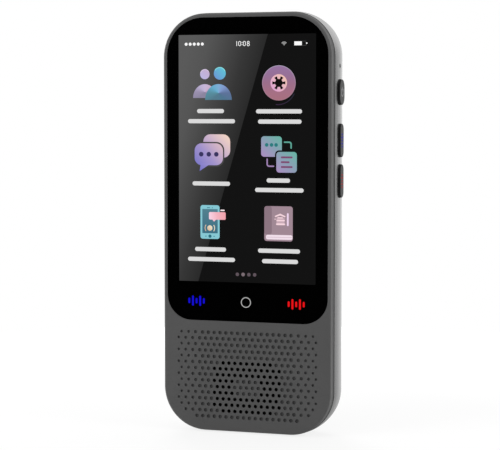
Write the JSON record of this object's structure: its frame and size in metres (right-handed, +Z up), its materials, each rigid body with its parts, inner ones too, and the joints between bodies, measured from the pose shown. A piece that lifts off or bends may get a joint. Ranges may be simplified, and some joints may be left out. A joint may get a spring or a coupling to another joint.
{
  "type": "handheld voice translator",
  "caption": "Slim upright handheld translator: glass-fronted display, perforated speaker grille, silver frame and side push keys that travel.",
  "frame": {"origin": "centre of the socket's mouth at the lower end face, half way through the width and the thickness", "axes": "+Z up the length to the top end, +X to the side with the keys, -Y out of the display"},
  "size_m": [0.0644, 0.0152, 0.1502],
  "materials": {
    "cover_plastic": "fine matt moulding",
    "black_glass": "polished, printed black behind",
    "frame_silver": "satin silver",
    "key_plastic": "matt moulding",
    "inner_plastic": "natural moulding",
    "black_foam": "closed-cell foam",
    "black_rubber": "matt rubber",
    "display_layer": "dark panel",
    "light_guide": "white reflector",
    "flex_film": "amber film",
    "circuit_board": "green solder mask",
    "sheet_steel": "plain sheet",
    "screw_steel": "nickel",
    "dark_screw_steel": "black zinc",
    "chip_resin": "moulded resin",
    "cell_pouch": "laminated foil",
    "tape_film": "adhesive film",
    "lead_jacket": "red jacket",
    "gold_plate": "gold plated",
    "ferrite": "plated pot",
    "cone_film": "thin film",
    "dust_mesh": "fine black weave"
  },
  "bodies": {
    "case": {"front_cover": "cover_plastic", "cover_glass": "black_glass", "glass_adhesive": "black_foam", "display_panel": "display_layer", "backlight_unit": "light_guide", "display_tape": "black_foam", "display_flex": "flex_film", "touch_flex": "flex_film", "middle_frame": "frame_silver", "front_screws": "screw_steel", "rear_cover": "cover_plastic", "case_screws": "dark_screw_steel", "key_switches": "sheet_steel", "key_board": "circuit_board", "key_flex": "flex_film", "side_microphone": "gold_plate", "side_mic_boot": "black_rubber", "top_microphone": "gold_plate", "top_mic_boot": "black_rubber", "main_board": "circuit_board", "board_screws": "screw_steel", "main_shield": "sheet_steel", "radio_shield": "sheet_steel", "processor_chip": "chip_resin", "memory_chip": "chip_resin", "radio_chip": "chip_resin", "flex_connectors": "inner_plastic", "battery_connector": "inner_plastic", "battery_cell": "cell_pouch", "battery_board": "circuit_board", "battery_lead": "lead_jacket", "battery_tape": "tape_film", "sub_board": "circuit_board", "socket_shell": "sheet_steel", "socket_tongue": "chip_resin", "link_flex": "flex_film", "speaker_basket": "chip_resin", "speaker_cone": "cone_film", "speaker_magnet": "ferrite", "speaker_gasket": "black_foam", "speaker_mesh": "dust_mesh", "speaker_contacts": "gold_plate", "antenna_flex": "flex_film", "antenna_spring": "gold_plate"},
    "power_key_body": {"power_key": "key_plastic", "power_plunger": "inner_plastic"},
    "blue_talk_key_body": {"blue_talk_key": "key_plastic", "blue_plunger": "inner_plastic"},
    "red_talk_key_body": {"red_talk_key": "key_plastic", "red_plunger": "inner_plastic"}
  },
  "joints": [
    {"name": "power_key_press", "type": "slide", "parent": "case", "child": "power_key_body", "axis": [-1, 0, 0], "range_m": [0, 0.0004], "stiffness_N_per_m": 2500},
    {"name": "blue_talk_key_press", "type": "slide", "parent": "case", "child": "blue_talk_key_body", "axis": [-1, 0, 0], "range_m": [0, 0.0004], "stiffness_N_per_m": 2500},
    {"name": "red_talk_key_press", "type": "slide", "parent": "case", "child": "red_talk_key_body", "axis": [-1, 0, 0], "range_m": [0, 0.0004], "stiffness_N_per_m": 2500}
  ]
}
